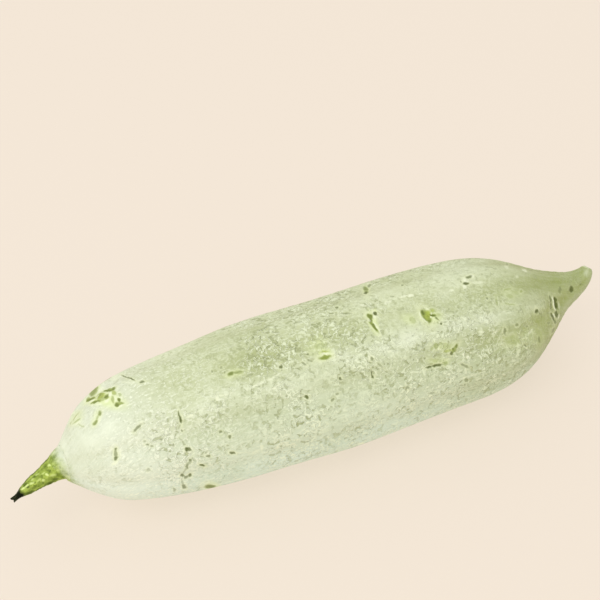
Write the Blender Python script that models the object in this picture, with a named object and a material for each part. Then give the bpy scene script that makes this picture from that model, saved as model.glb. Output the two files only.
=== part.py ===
"""A snake gourd as picked, lying on its side: the whole ribbed fruit with its hooked blossom end,
and the green fruit stalk with its dried, forked end.

+X runs from the stalk towards the blossom end, +Z is up, and the origin is on the surface that
the gourd lies on, under the middle of its box. Run it with blender --background --python part.py,
or from Blender's text editor.
"""
import math

import bmesh
import bpy
import numpy as np

# Driving dimensions, in metres unless a name says otherwise
MM = 0.001
NECK_X = -0.1088  # where the stalk joins the fruit
MIDDLE_Y = 0.0008  # brings the middle of the gourd's box onto the origin
JOINT_GAP = 0.0003  # left between the stalk's base and the fruit's neck
FLAT_DEPTH = 0.00055  # of the flat spot that the belly lies on

# The fruit's spine, from its neck to the hook's end: along, towards the back, height, radius
FRUIT_SPINE_MM = (
    (0, 0.5, 29.0, 7.6),
    (3, 0.5, 29.1, 10.7),
    (7, 0.5, 29.3, 14.7),
    (13, 0.6, 29.6, 19.4),
    (22, 0.7, 29.8, 23.6),
    (36, 0.7, 29.9, 26.5),
    (56, 0.3, 29.5, 28.7),
    (82, -0.2, 30.1, 30.2),
    (112, -0.8, 30.6, 31.0),
    (142, -1.1, 30.6, 31.1),
    (167, -1.0, 30.1, 30.4),
    (187, -0.4, 29.1, 27.8),
    (202, 0.6, 29.2, 21.6),
    (213, 1.4, 29.8, 14.9),
    (222, 2.1, 30.4, 9.7),
    (229, 2.6, 30.7, 6.9),
    (234.3, 3.1, 32.1, 5.1),
    (237.5, 3.7, 34.2, 3.7),
    (239.3, 4.4, 36.2, 2.4),
)
RIB_COUNT = 9
RIB_HEIGHT = 0.00042
RIB_SHARPNESS = 0.2  # share of a double wave, which rounds the crests and narrows the valleys
RIB_FULL_RADIUS = 0.022  # ribs are lower where the fruit is slimmer than this
RIB_PHASE = math.radians(29)  # of the first rib at the neck, from the top towards the front
RIB_TWIST = math.radians(14)  # of every rib on its way to the hook
LUMP_HEIGHT = 0.00035
# Slow swellings: waves round the fruit, radians per metre along it, phase, share of the height
LUMP_WAVES = ((2, 38, 0.6, 1.0), (3, -61, 2.1, 0.7), (1, 92, 1.6, 0.6))
SCAR_RIM_HEIGHT = 0.0002  # how far the blossom scar's rim stands out round the hook's end
SCAR_RIM_REACH = 0.002

# The stalk's spine, from the neck to its end: outwards, towards the front, downwards, radius
STALK_SPINE_MM = (
    (0, 0, 0, 7.4),
    (1.1, 0, 0.2, 6.6),
    (2.6, 0.1, 0.6, 5.6),
    (4.6, 0.3, 1.2, 4.8),
    (8.2, 0.9, 2.2, 3.9),
    (12.0, 1.7, 2.9, 3.2),
    (15.6, 2.6, 3.7, 2.6),
    (18.2, 3.2, 4.4, 1.8),
    (20.0, 3.6, 5.0, 1.2),
    (22.6, 4.0, 6.1, 1.1),
)
SQUARE_REACH = 0.003  # over which cross-sections turn from square to the joint to square to a spine
STALK_RIDGES = 5
STALK_RIDGE_SHARE = 0.07  # of the stalk's radius
KNOB_ALONG = 0.009  # where the small knob stands on the stalk's underside
KNOB_HEIGHT = 0.0008
KNOB_REACH = 0.0014
KNOB_STALK_RADIUS = 0.0036
DRIED_SHARE = (0.72, 0.84)  # of the length, between which the ridges shrink away
FORK_SHARE = (0.88, 1.0)  # of the length, between which the dried end spreads into two lobes
FORK_SPREAD = 0.22  # of the radius
FORK_DEPTH = 0.0011  # of the notch between the lobes

# Fineness of the meshes
FRUIT_RINGS = 54
FRUIT_SIDES = RIB_COUNT * 7
END_CROWDING = 0.55  # how much closer together the rings lie towards the fruit's two ends
STALK_RINGS = 24
STALK_SIDES = STALK_RIDGES * 4
WELD = 1e-6
FLAT_SNAP = 3e-5  # a corner this near the flat spot's level is moved onto it


def clear_scene():
    for obj in list(bpy.data.objects):
        bpy.data.objects.remove(obj, do_unlink=True)


def material(name, colour, roughness):
    made = bpy.data.materials.new(name)
    made.use_nodes = True
    shader = made.node_tree.nodes["Principled BSDF"]
    shader.inputs["Base Color"].default_value = (*colour, 1.0)
    shader.inputs["Roughness"].default_value = roughness
    shader.inputs["Metallic"].default_value = 0.0
    made.diffuse_color = (*colour, 1.0)
    return made


def ramp(value, low, high):
    """From 0 at low to 1 at high, with soft ends."""
    share = min(max((value - low) / (high - low), 0.0), 1.0)
    return share * share * (3 - 2 * share)


class Spine:
    """A smooth line through a few points, each with a radius: a natural cubic spline.

    Its cross-sections stand square to the line, and at its start to the start direction.
    """

    def __init__(self, rows, start):
        self.rows = np.array(rows, float)
        self.start = np.array(start, float)
        steps = np.linalg.norm(np.diff(self.rows[:, :3], axis=0), axis=1)
        self.along = np.concatenate([[0.0], np.cumsum(steps)])
        self.length = self.along[-1]
        self.bends = self.second_derivatives(steps)

    def second_derivatives(self, steps):
        count = len(self.along)
        system = np.eye(count)
        slopes = np.diff(self.rows, axis=0) / steps[:, None]
        right = np.zeros_like(self.rows)
        for i in range(1, count - 1):
            system[i, i - 1 : i + 2] = (steps[i - 1], 2 * (steps[i - 1] + steps[i]), steps[i])
            right[i] = 6 * (slopes[i] - slopes[i - 1])
        return np.linalg.solve(system, right)

    def at(self, distance):
        """Centre and radius at a distance along the spine."""
        i = int(np.clip(np.searchsorted(self.along, distance) - 1, 0, len(self.along) - 2))
        step = self.along[i + 1] - self.along[i]
        b = (distance - self.along[i]) / step
        a = 1 - b
        row = a * self.rows[i] + b * self.rows[i + 1]
        row = row + ((a**3 - a) * self.bends[i] + (b**3 - b) * self.bends[i + 1]) * step**2 / 6
        return row[:3], row[3]

    def across(self, distance):
        """Three directions at a distance: towards the back, square to it, and along the spine.

        The second points up where the spine runs towards +X, and down where it runs towards -X.
        """
        reach = self.length * 1e-4
        ahead = self.at(min(distance + reach, self.length))[0]
        behind = self.at(max(distance - reach, 0.0))[0]
        forward = (ahead - behind) / np.linalg.norm(ahead - behind)
        forward = self.start + (forward - self.start) * ramp(distance, 0, SQUARE_REACH)
        forward /= np.linalg.norm(forward)
        side = np.array([0.0, 1.0, 0.0]) - forward * forward[1]
        side /= np.linalg.norm(side)
        return side, np.cross(forward, side), forward


def tube(name, rings, sides, place, skin):
    """A closed tube: place(u, angle) gives the point at a share u of its length."""
    bm = bmesh.new()
    bmesh.ops.create_grid(bm, x_segments=rings, y_segments=sides, size=0.5)
    for vert in bm.verts:
        vert.co = place(vert.co.x + 0.5, math.tau * (vert.co.y + 0.5))
    bmesh.ops.remove_doubles(bm, verts=bm.verts, dist=WELD)
    bmesh.ops.holes_fill(bm, edges=bm.edges, sides=0)
    bmesh.ops.recalc_face_normals(bm, faces=bm.faces)
    mesh = bpy.data.meshes.new(name)
    bm.to_mesh(mesh)
    bm.free()
    mesh.materials.append(skin)
    mesh.shade_smooth()
    obj = bpy.data.objects.new(name, mesh)
    bpy.context.collection.objects.link(obj)
    return obj


def rib(distance, angle, length, radius):
    """How far the ribs lift the skin: broad rounded crests with narrower valleys."""
    turn = RIB_COUNT * (angle - RIB_PHASE - RIB_TWIST * distance / length)
    wave = math.cos(turn) - RIB_SHARPNESS * math.cos(2 * turn)
    return RIB_HEIGHT * ramp(radius, 0, RIB_FULL_RADIUS) * wave


def lump(distance, angle, length):
    """Slow swellings, as a fruit that grew has."""
    waves = sum(
        share * math.sin(turns * angle + bend * distance + phase)
        for turns, bend, phase, share in LUMP_WAVES
    )
    return LUMP_HEIGHT * math.sin(math.pi * distance / length) * waves


def build_fruit():
    spine = Spine(np.array(FRUIT_SPINE_MM) * MM, start=(1, 0, 0))

    def place(u, angle):
        crowded = (1 - math.cos(math.pi * u)) / 2
        distance = spine.length * (u + END_CROWDING * (crowded - u))
        centre, radius = spine.at(distance)
        side, up, forward = spine.across(distance)
        radius += rib(distance, angle, spine.length, radius)
        radius += lump(distance, angle, spine.length)
        radius += SCAR_RIM_HEIGHT * ramp(distance, spine.length - SCAR_RIM_REACH, spine.length)
        point = centre + radius * (math.cos(angle) * up - math.sin(angle) * side)
        return point + np.array([NECK_X, MIDDLE_Y, -FLAT_DEPTH])

    skin = material("pale green bloomed skin", (0.62, 0.69, 0.44), 0.55)
    fruit = tube("fruit", FRUIT_RINGS, FRUIT_SIDES, place, skin)
    flatten_belly(fruit.data)


def flatten_belly(mesh):
    """Cuts the flat spot that the fruit lies on, level with the surface."""
    bm = bmesh.new()
    bm.from_mesh(mesh)
    whole = bm.verts[:] + bm.edges[:] + bm.faces[:]
    bmesh.ops.bisect_plane(
        bm, geom=whole, dist=FLAT_SNAP, plane_co=(0, 0, 0), plane_no=(0, 0, -1), clear_outer=True
    )
    bmesh.ops.holes_fill(bm, edges=bm.edges, sides=0)
    for vert in bm.verts:
        if vert.co.z < FLAT_SNAP:
            vert.co.z = 0
    bmesh.ops.recalc_face_normals(bm, faces=bm.faces)
    bm.to_mesh(mesh)
    bm.free()


def knob(distance, angle):
    """The small knob on the stalk's underside, where the angle is 0."""
    around = (math.pi - abs(angle - math.pi)) * KNOB_STALK_RADIUS
    away = math.hypot(distance - KNOB_ALONG, around) / KNOB_REACH
    return KNOB_HEIGHT * math.exp(-away * away)


def build_stalk():
    rows = np.array(STALK_SPINE_MM) * MM
    rows[:, :3] *= -1  # outwards is -X, towards the front is -Y and downwards is -Z
    spine = Spine(rows, start=(-1, 0, 0))
    neck = np.array(FRUIT_SPINE_MM[0]) * MM
    base = np.array([NECK_X - JOINT_GAP, MIDDLE_Y + neck[1], neck[2] - FLAT_DEPTH])

    def place(u, angle):
        distance = spine.length * u
        centre, radius = spine.at(distance)
        side, up, forward = spine.across(distance)
        ridge = math.cos(STALK_RIDGES * angle) * u * (1 - ramp(u, *DRIED_SHARE))
        lobe = math.cos(2 * angle) * ramp(u, *FORK_SHARE)
        notch = FORK_DEPTH * (ramp(u, *FORK_SHARE) - lobe) / 2
        radius = radius * (1 + STALK_RIDGE_SHARE * ridge) + knob(distance, angle)
        radius *= 1 + FORK_SPREAD * lobe
        point = centre + radius * (math.cos(angle) * up - math.sin(angle) * side)
        return base + point - notch * forward

    skin = material("green stalk", (0.33, 0.42, 0.10), 0.6)
    tube("stalk", STALK_RINGS, STALK_SIDES, place, skin)


clear_scene()
build_fruit()
build_stalk()
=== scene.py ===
import math
import random
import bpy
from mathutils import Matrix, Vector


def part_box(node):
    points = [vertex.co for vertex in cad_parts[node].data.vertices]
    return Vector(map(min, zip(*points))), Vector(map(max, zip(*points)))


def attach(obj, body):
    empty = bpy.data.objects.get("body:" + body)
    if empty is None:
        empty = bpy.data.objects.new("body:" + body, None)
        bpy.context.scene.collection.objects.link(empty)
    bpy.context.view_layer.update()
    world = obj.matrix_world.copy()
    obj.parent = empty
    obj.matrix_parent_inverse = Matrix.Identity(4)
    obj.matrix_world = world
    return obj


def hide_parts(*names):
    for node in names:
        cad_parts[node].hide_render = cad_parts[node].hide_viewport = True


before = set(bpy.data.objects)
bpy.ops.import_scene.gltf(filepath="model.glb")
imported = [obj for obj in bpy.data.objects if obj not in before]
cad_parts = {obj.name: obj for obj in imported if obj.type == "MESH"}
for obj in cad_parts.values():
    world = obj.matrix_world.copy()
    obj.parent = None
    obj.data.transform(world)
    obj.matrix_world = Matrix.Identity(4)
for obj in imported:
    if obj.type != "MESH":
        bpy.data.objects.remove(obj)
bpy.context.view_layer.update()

from types import SimpleNamespace

import bmesh
import bpy
import numpy as np
from mathutils import Vector, noise

# The view
# The gourd is seen from its front left and from above, through a long lens. The camera stands
# about 0.6 m away, as the picture of it was taken.
AIM = Vector((0.0117, 0.04575, 0.02945))
VIEW_AZIMUTH = math.radians(-25.38)
VIEW_ELEVATION = math.radians(42)
VIEW_DISTANCE = 0.605
FIELD_OF_VIEW = math.radians(24)


def place_camera():
    back = Vector(
        (
            math.sin(VIEW_AZIMUTH) * math.cos(VIEW_ELEVATION),
            -math.cos(VIEW_AZIMUTH) * math.cos(VIEW_ELEVATION),
            math.sin(VIEW_ELEVATION),
        )
    )
    lens = bpy.data.cameras.new("long lens")
    lens.angle = FIELD_OF_VIEW
    camera = bpy.data.objects.new("camera", lens)
    camera.location = AIM + VIEW_DISTANCE * back
    camera.rotation_euler = back.to_track_quat("Z", "Y").to_euler()
    bpy.context.collection.objects.link(camera)
    bpy.context.scene.camera = camera


place_camera()

# The light and the floor
# A bright, even room with one big soft lamp at the upper left. The gourd lies on a wide sheet of
# matt cream acrylic that is also lit from below, as on a light table, so its shadow is faint.
ROOM_COLOUR = (1.0, 1.0, 1.0)
ROOM_STRENGTH = 0.86
SHEET_COLOUR = (0.28, 0.248, 0.212)
SHEET_GLOW = (0.625, 0.549, 0.465)
SHEET_RADIUS = 3.0
LAMP_PLACE = Vector((-0.75, -0.45, 1.15))
LAMP_SIZE = 0.9
LAMP_WATTS = 4.5


def put(tree, kind, inputs=(), **settings):
    """A new node in tree; inputs gives each socket a value, or the socket that feeds it."""
    made = tree.nodes.new(kind)
    for name, value in settings.items():
        setattr(made, name, value)
    for name, value in dict(inputs).items():
        if isinstance(value, bpy.types.NodeSocket):
            tree.links.new(value, made.inputs[name])
        else:
            made.inputs[name].default_value = value
    return made


def fresh_material(name, **surface):
    """A material with its node tree and its Principled BSDF, whose constants are in surface."""
    made = bpy.data.materials.new(name)
    made.use_nodes = True
    shader = made.node_tree.nodes["Principled BSDF"]
    for socket, value in surface.items():
        shader.inputs[socket.replace("_", " ")].default_value = value
    return made, made.node_tree, shader


def light_room():
    world = bpy.data.worlds.new("room")
    world.use_nodes = True
    room = world.node_tree.nodes["Background"]
    room.inputs["Color"].default_value = (*ROOM_COLOUR, 1)
    room.inputs["Strength"].default_value = ROOM_STRENGTH
    bpy.context.scene.world = world
    bpy.context.scene.view_settings.view_transform = "Standard"
    lamp = bpy.data.lights.new("key lamp", "AREA")
    lamp.size = LAMP_SIZE
    lamp.energy = LAMP_WATTS
    holder = bpy.data.objects.new("key lamp", lamp)
    holder.location = LAMP_PLACE
    holder.rotation_euler = LAMP_PLACE.to_track_quat("Z", "Y").to_euler()
    bpy.context.collection.objects.link(holder)


def lay_sheet():
    """The floor that the gourd lies on."""
    bm = bmesh.new()
    bmesh.ops.create_circle(bm, cap_ends=True, segments=96, radius=SHEET_RADIUS)
    mesh = bpy.data.meshes.new("sheet")
    bm.to_mesh(mesh)
    bm.free()
    acrylic, tree, shader = fresh_material(
        "lit acrylic",
        Base_Color=(*SHEET_COLOUR, 1),
        Roughness=0.9,
        Specular_IOR_Level=0.1,
        Emission_Color=(*SHEET_GLOW, 1),
        Emission_Strength=1.0,
    )
    mesh.materials.append(acrylic)
    floor = bpy.data.objects.new("floor", mesh)
    bpy.context.collection.objects.link(floor)


light_room()
lay_sheet()

# The fruit
# The gourd is one fleshy fruit, round in section with nine low ribs, swollen in the middle and
# drawn out at the far end into a hook. It grew hanging, so ribs and streaks run from the stalk to
# the hook, and its thin firm skin is dented, nicked and scuffed from picking.
MM = 0.001
fruit_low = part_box("fruit")[0]
NECK_X = fruit_low[0]
MIDDLE_Y = 0.0008
FLAT_DEPTH = 0.00055  # of the flat spot that the belly lies on
SKIN_INSET = 0.00018  # keeps the fine skin inside the plain solid's box

# The spine from the neck to the hook's end: along, towards the back, height, radius
FRUIT_SPINE_MM = (
    (0, 0.5, 29.0, 7.6),
    (3, 0.5, 29.1, 10.7),
    (7, 0.5, 29.3, 14.7),
    (13, 0.6, 29.6, 19.4),
    (22, 0.7, 29.8, 23.6),
    (36, 0.7, 29.9, 26.5),
    (56, 0.3, 29.5, 28.7),
    (82, -0.2, 30.1, 30.2),
    (112, -0.8, 30.6, 31.0),
    (142, -1.1, 30.6, 31.1),
    (167, -1.0, 30.1, 30.4),
    (187, -0.4, 29.1, 27.8),
    (202, 0.6, 29.2, 21.6),
    (213, 1.4, 29.8, 14.9),
    (222, 2.1, 30.4, 9.7),
    (229, 2.6, 30.7, 6.9),
    (234.3, 3.1, 32.1, 5.1),
    (237.5, 3.7, 34.2, 3.7),
    (239.3, 4.4, 36.2, 2.4),
)
RIB_COUNT = 9
RIB_HEIGHT = 0.00042
RIB_SHARPNESS = 0.2  # share of a double wave, which rounds the crests and narrows the valleys
RIB_FULL_RADIUS = 0.022  # ribs are lower where the fruit is slimmer than this
RIB_PHASE = math.radians(29)  # of the first rib at the neck, from the top towards the front
RIB_TWIST = math.radians(14)  # of every rib on its way to the hook
LUMP_HEIGHT = 0.00035
# Slow swellings: waves round the fruit, radians per metre along it, phase, share of the height
LUMP_WAVES = ((2, 38, 0.6, 1.0), (3, -61, 2.1, 0.7), (1, 92, 1.6, 0.6))
SCAR_RIM_HEIGHT = 0.0002  # how far the blossom scar's rim stands out round the hook's end
SCAR_RIM_REACH = 0.002
SCAR_ROUNDING = 0.0007  # how much the hook's end draws in over its last stretch
SCAR_ROUND_REACH = 0.0014
SCAR_DISH = 0.0007  # how deep the scar's middle lies in the hook's blunt end
SCAR_DISH_SHARES = (0.1, 0.9)  # of the way in from the rim, where the dish begins and is deepest

FRUIT_RINGS = 324
NECK_CAP_RINGS = 4
SCAR_RINGS = 8
FRUIT_SIDES = 160
CLOSE_UP_MARGINS = (0.0009, 0.0005)  # round each mark, halves the faces once, and then again
SEAM_CLEARANCE = math.radians(14)  # faces this near the seam under the fruit aren't halved
WELD = 1e-6
SQUARE_REACH = 0.003  # over which cross-sections turn from square to the joint to square to a spine

# Fine relief of the skin: size and height of each sort of unevenness
DIMPLE_SIZE = 0.0042
DIMPLE_HEIGHT = 0.00007
FAINT_DENT_SIZE = 0.017
FAINT_DENT_HEIGHT = 0.00016
FAINT_DENT_DROP = 0.6  # share of it that the whole skin is lowered by
FINE_RELIEF_RADII = (0.002, 0.012)  # the fruit's radius where that relief begins and is full
CREASE_HEIGHT = 0.00012  # of the fine cross folds near the neck and at the hook's root
CREASE_DROP = 0.5  # share of it that the whole skin is lowered by
CREASE_PITCH = 0.00062  # over which a fold turns by one radian
CREASE_WANDER = ((0.0016, 0.0061, 0), (0.0009, 0.0027, 1))  # waves: height, length, phase
# Where the folds are, as shares of the way to the hook's end, and how full they are there
HOOK_CREASES_RISE = (0.79, 0.88)
HOOK_CREASES_FALL = (0.95, 0.99)
HOOK_CREASES_SHARE = 0.55
NECK_CREASES_FALL = (0.02, 0.1)
NECK_CREASES_SHARE = 0.3
NICK_DEPTH = 0.00015  # of each dark mark
LOW_ANGLES = (math.radians(42), math.radians(150))  # from the top, over which the side turns low
MARK_RAGGEDNESS = 0.0004  # how far the marks' edges wander
MARK_RAG_SIZE = 0.0013
RAG_SHIFT = 0.1  # between the places that the two ways of wandering are drawn from
RIM_FADE = (0.85, 0.9)  # share of the way to the hook's end, over which the marks lose their rims

# Marks on the unrolled skin, seen one by one on the real fruit: kind, then in mm and degrees along
# from the neck, round from the top towards the front, half length, half width, tilt from
# lengthwise towards the front, and strength
MARKS = (
    # Painted highlight on the shoulder by the stalk, laid on as patches of whiter bloom
    ("glow", 1, -1.5, 5.5, 1.5, -85, 0.6),
    ("glow", 10.5, 8, 6, 2.6, 55, 0.7),
    ("glow", 17.5, 9, 2.9, 2.7, 0, 0.9),
    ("glow", 30.5, 20.5, 1.7, 1.4, 0, 0.6),
    # Faint scratches above the stalk
    ("halo", 9.5, -7, 6.5, 3.1, 90, 0.45),
    ("green", 9, -3.5, 1.8, 0.6, 35, 0.5),
    ("green", 9.5, -7.5, 1.2, 1.1, 0, 0.55),
    ("green", 9.5, -7, 1.8, 1.4, -25, 0.4),
    ("green", 9.5, 0, 1.8, 0.3, 65, 0.35),
    ("green", 7, -7.5, 1.2, 0.6, -75, 0.45),
    ("pale", 9, -2, 1.8, 0.4, 35, 0.7),
    ("pale", 9.5, -13.5, 2.1, 0.8, 80, 0.6),
    ("pale", 9.5, -6, 1.1, 0.8, -25, 0.7),
    # The bruised patch on the shoulder, of many torn spots
    ("halo", 20, -4, 10.5, 3.7, 60, 1.0),
    ("halo", 20, -16.5, 6.5, 2.1, -70, 0.8),
    ("halo", 23, 1.5, 3.5, 1.9, 45, 0.9),
    ("green", 16, -11, 3, 1, 90, 0.95),
    ("green", 17, -9.5, 2.6, 0.9, 80, 0.95),
    ("green", 18.5, -15, 4, 1.4, -80, 0.75),
    ("green", 20, -16, 4.5, 1.2, -75, 0.75),
    ("green", 16.5, -5, 1.3, 0.8, 45, 0.9),
    ("green", 18, -4, 1.3, 0.6, 60, 0.85),
    ("green", 19.5, -6.5, 2.8, 1.7, -75, 0.8),
    ("green", 22, -7, 1.6, 0.8, 65, 0.9),
    ("green", 23.5, -6, 1.7, 0.9, 70, 0.95),
    ("green", 24.5, -5.5, 1.3, 1, -60, 0.9),
    ("green", 21, -3.5, 1.5, 1.3, -70, 0.9),
    ("green", 19.5, -3.5, 1.3, 1, 30, 0.6),
    ("green", 22.5, -0.5, 1.9, 0.6, -75, 0.6),
    ("green", 24, -3.5, 1.8, 0.8, 90, 0.55),
    ("green", 24.5, 1, 1, 0.7, 80, 0.9),
    ("green", 24, 2.5, 2, 0.8, 30, 0.85),
    ("green", 25.5, -1, 1, 0.6, 90, 0.5),
    ("green", 23, 2.5, 1, 0.7, 75, 0.9),
    ("fresh", 19.5, -6.5, 3, 2.1, -65, 0.5),
    ("fresh", 20.5, -5.5, 1.4, 1, -65, 0.6),
    ("fresh", 24, -3.5, 1.3, 0.8, 90, 0.5),
    ("dark", 16.5, -10, 2.4, 0.7, 65, 0.6),
    ("dark", 17, -4.5, 1.6, 0.4, 45, 0.55),
    ("dark", 19, -15.5, 3, 1.2, -65, 0.35),
    ("dark", 19.5, -7, 1.3, 0.8, -55, 0.3),
    ("dark", 21, -3.5, 1, 0.8, -20, 0.6),
    ("dark", 22.5, -6.5, 2.1, 0.5, 55, 0.6),
    ("dark", 24.5, -5.5, 0.8, 0.6, -60, 0.5),
    ("dark", 24.5, 1, 0.8, 0.5, -85, 0.65),
    ("dark", 23, 2.5, 1, 0.6, 45, 0.6),
    ("pale", 16, -7.5, 1.6, 0.7, 55, 0.9),
    ("pale", 17.5, -2, 1.6, 0.4, 40, 0.8),
    ("pale", 18.5, -7, 1.5, 0.4, -60, 0.7),
    ("pale", 20.5, -1.5, 1.1, 0.8, 25, 0.9),
    ("pale", 21, -7.5, 1.8, 0.4, 65, 0.6),
    ("pale", 21.5, -12, 2.8, 1.3, -80, 0.9),
    ("pale", 22.5, -3.5, 1.1, 0.6, 90, 1.0),
    ("pale", 23.5, 0, 1.6, 0.4, -85, 0.7),
    ("pale", 25.5, 1, 0.6, 0.4, 80, 0.8),
    ("pale", 24, 4, 0.9, 0.5, 0, 0.8),
    # Two spots with a scratch between them, below the patch
    ("halo", 15, 2, 4, 1.7, -55, 0.45),
    ("green", 16.5, 1.5, 1.1, 0.9, -40, 0.75),
    ("green", 15, 2.5, 1.2, 0.5, -45, 0.5),
    ("green", 14, 3.5, 1.1, 1, 0, 0.75),
    ("dark", 16.5, 1.5, 0.8, 0.5, -40, 0.4),
    ("dark", 14, 3.5, 0.7, 0.5, -25, 0.4),
    ("pale", 15.5, 4, 1.1, 0.5, -45, 0.7),
    ("pale", 15, 0.5, 1.7, 0.3, -55, 0.6),
    # A short cut across the skin, low beside the stalk
    ("halo", 16.5, 19, 2.7, 1.3, -80, 0.4),
    ("dark", 16, 20.5, 0.9, 0.8, 55, 0.9),
    ("dark", 16.5, 19, 1.7, 0.7, -75, 0.65),
    ("dark", 17, 17.5, 0.7, 0.6, 75, 0.8),
    ("pale", 15, 22, 1.5, 0.5, 25, 0.8),
    ("pale", 15.5, 16, 0.9, 0.6, 60, 0.5),
    ("pale", 18, 20, 1.7, 0.5, -75, 0.6),
    # A long scratch over the shoulder
    ("dark", 23, -19.5, 1.5, 0.3, 5, 0.8),
    ("dark", 26, -20, 1.8, 1.2, -20, 0.8),
    ("dark", 31, -11.5, 4.5, 0.5, 85, 0.8),
    ("dark", 32, -6.5, 2.6, 0.4, 75, 0.9),
    ("dark", 34.5, -2, 1, 0.7, 20, 0.8),
    ("pale", 28, -16, 4, 1.7, -75, 0.6),
    ("pale", 30, -5, 2.8, 0.6, 55, 0.5),
    # Specks between the shoulder and the row of spots
    ("dark", 26.5, 15, 1.9, 0.6, -20, 0.75),
    ("dark", 28, 22.5, 0.7, 0.5, 30, 0.65),
    ("dark", 29.5, 24, 0.8, 0.4, 50, 0.5),
    ("dark", 27.5, 21, 0.6, 0.5, 40, 0.4),
    ("dark", 33.5, 23, 0.6, 0.5, 40, 0.45),
    ("dark", 37, 27, 0.5, 0.4, 90, 0.65),
    ("dark", 26, 32, 0.9, 0.6, 65, 0.4),
    ("dark", 35, 49, 1.6, 0.6, 75, 0.5),
    ("pale", 34.5, 6.5, 0.6, 0.6, 0, 0.8),
    ("pale", 36, 4.5, 0.6, 0.4, 85, 0.7),
    # A row of spots and thin cuts, down the front
    ("dark", 42, 17, 1.4, 0.4, -85, 0.9),
    ("dark", 42, 19, 1.6, 0.5, -85, 1.0),
    ("dark", 41.5, 23, 0.6, 0.5, 65, 0.7),
    ("dark", 40.5, 27, 2, 0.4, 70, 0.3),
    ("dark", 41.5, 30.5, 0.9, 0.8, 55, 1.0),
    ("dark", 42.5, 31, 0.9, 0.7, 40, 0.9),
    ("dark", 42, 35.5, 0.8, 0.5, 70, 0.8),
    ("dark", 43, 35, 0.5, 0.4, 85, 0.5),
    ("dark", 41.5, 36.5, 2.3, 0.6, -55, 0.45),
    ("dark", 40.5, 38, 1.6, 0.6, 90, 0.7),
    ("dark", 39.5, 40, 2.5, 0.6, -65, 0.4),
    ("dark", 38.5, 42, 1.3, 0.7, 75, 0.8),
    ("dark", 39, 42.5, 2, 0.4, 65, 0.6),
    ("dark", 41.5, 43.5, 1, 0.8, 70, 0.9),
    ("dark", 41, 43.5, 1.4, 0.6, -20, 0.6),
    ("dark", 40, 44, 1, 0.8, 55, 0.7),
    ("dark", 38.5, 47, 3.5, 0.5, 85, 0.4),
    ("dark", 39, 49, 2, 0.8, 75, 0.75),
    # Specks beside the row
    ("dark", 46.5, 40, 1.5, 0.5, 45, 0.95),
    ("dark", 49, 36.5, 1.2, 0.5, 40, 0.7),
    ("dark", 48.5, 34.5, 0.6, 0.5, 50, 0.4),
    ("dark", 52, 29, 0.5, 0.4, 85, 0.4),
    ("dark", 55.5, 29, 0.8, 0.6, 50, 0.7),
    ("dark", 58.5, 32, 0.7, 0.7, 0, 0.75),
    ("dark", 57, 35, 0.6, 0.4, 45, 0.4),
    ("dark", 58.5, 39, 1.4, 0.6, 40, 0.9),
    # A green nick low on the front
    ("halo", 50.5, 56, 6, 2.6, 70, 0.35),
    ("green", 50, 56.5, 4.5, 1.7, 60, 0.7),
    ("dark", 50, 56.5, 3.5, 1.2, 60, 0.6),
    # Bloom worn to pale dashes along the first rib in front
    ("glow", 53, 18.5, 8.5, 2.3, 10, 0.4),
    ("glow", 60.5, 15.5, 9.5, 2.7, 5, 0.3),
    ("glow", 83.5, 21, 8.5, 2.3, 15, 0.35),
    ("pale", 46, 19, 2, 0.4, -5, 0.9),
    ("pale", 50, 18.5, 2.6, 0.3, 0, 0.7),
    ("pale", 58, 16.5, 0.9, 0.8, 0, 1.0),
    ("pale", 59.5, 16, 2.2, 0.4, 10, 0.7),
    ("pale", 63, 16.5, 1.9, 0.3, 0, 0.6),
    ("pale", 75.5, 17, 3.5, 0.4, -10, 0.8),
    ("pale", 81, 20.5, 2.5, 0.4, -10, 0.9),
    ("pale", 82, 16.5, 3.5, 0.4, -10, 0.8),
    # Pale dashes along the second rib in front
    ("pale", 61, 40, 4.5, 0.4, 25, 0.4),
    ("pale", 67.5, 42.5, 2.8, 0.5, 0, 0.45),
    ("pale", 70, 41.5, 1.6, 0.7, 85, 0.65),
    ("pale", 76, 45, 1.3, 0.6, 25, 0.55),
    ("pale", 79, 43.5, 2.3, 0.5, 0, 0.5),
    ("pale", 83, 46.5, 1.7, 0.5, 50, 0.5),
    ("pale", 83.5, 44, 2.4, 0.4, 20, 0.4),
    # A green scuff high on the near half, with specks round it
    ("glow", 56.5, 7.5, 6, 3.5, 75, 0.25),
    ("halo", 68.5, 9.5, 4.5, 2.1, 0, 0.35),
    ("green", 67, 9, 1.6, 1, -10, 0.8),
    ("green", 70, 9.5, 2.3, 0.9, 15, 0.55),
    ("dark", 67, 9, 1.2, 0.7, -10, 0.6),
    ("dark", 70, 9.5, 2, 0.4, 15, 0.4),
    ("dark", 60.5, 5, 0.6, 0.5, -70, 0.5),
    ("dark", 64.5, 5, 0.6, 0.6, 0, 0.45),
    ("dark", 65, 7.5, 0.6, 0.4, -55, 0.55),
    ("dark", 86, 13.5, 0.9, 0.7, -50, 0.9),
    # Specks on the middle
    ("dark", 91.5, 28.5, 1, 0.7, 40, 1.0),
    ("dark", 91, 31, 0.9, 0.4, 60, 0.45),
    ("dark", 94.5, 15.5, 1.1, 0.5, 50, 0.6),
    ("dark", 97.5, 12.5, 0.6, 0.5, -35, 0.65),
    ("dark", 97, 15, 1.4, 0.4, 55, 0.45),
    ("dark", 106, 26, 0.7, 0.6, 65, 0.85),
    ("dark", 103.5, 31.5, 0.6, 0.5, 30, 0.5),
    ("dark", 101, 33, 0.9, 0.5, -20, 0.65),
    # A green nick with a pale lip, on the middle
    ("glow", 109.5, 18, 5, 2.4, 20, 0.45),
    ("halo", 102.5, 10, 5, 3.6, -25, 0.4),
    ("halo", 103.5, 14.5, 3, 2.7, 25, 0.9),
    ("green", 103, 16, 2.5, 0.9, 10, 1.0),
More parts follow.
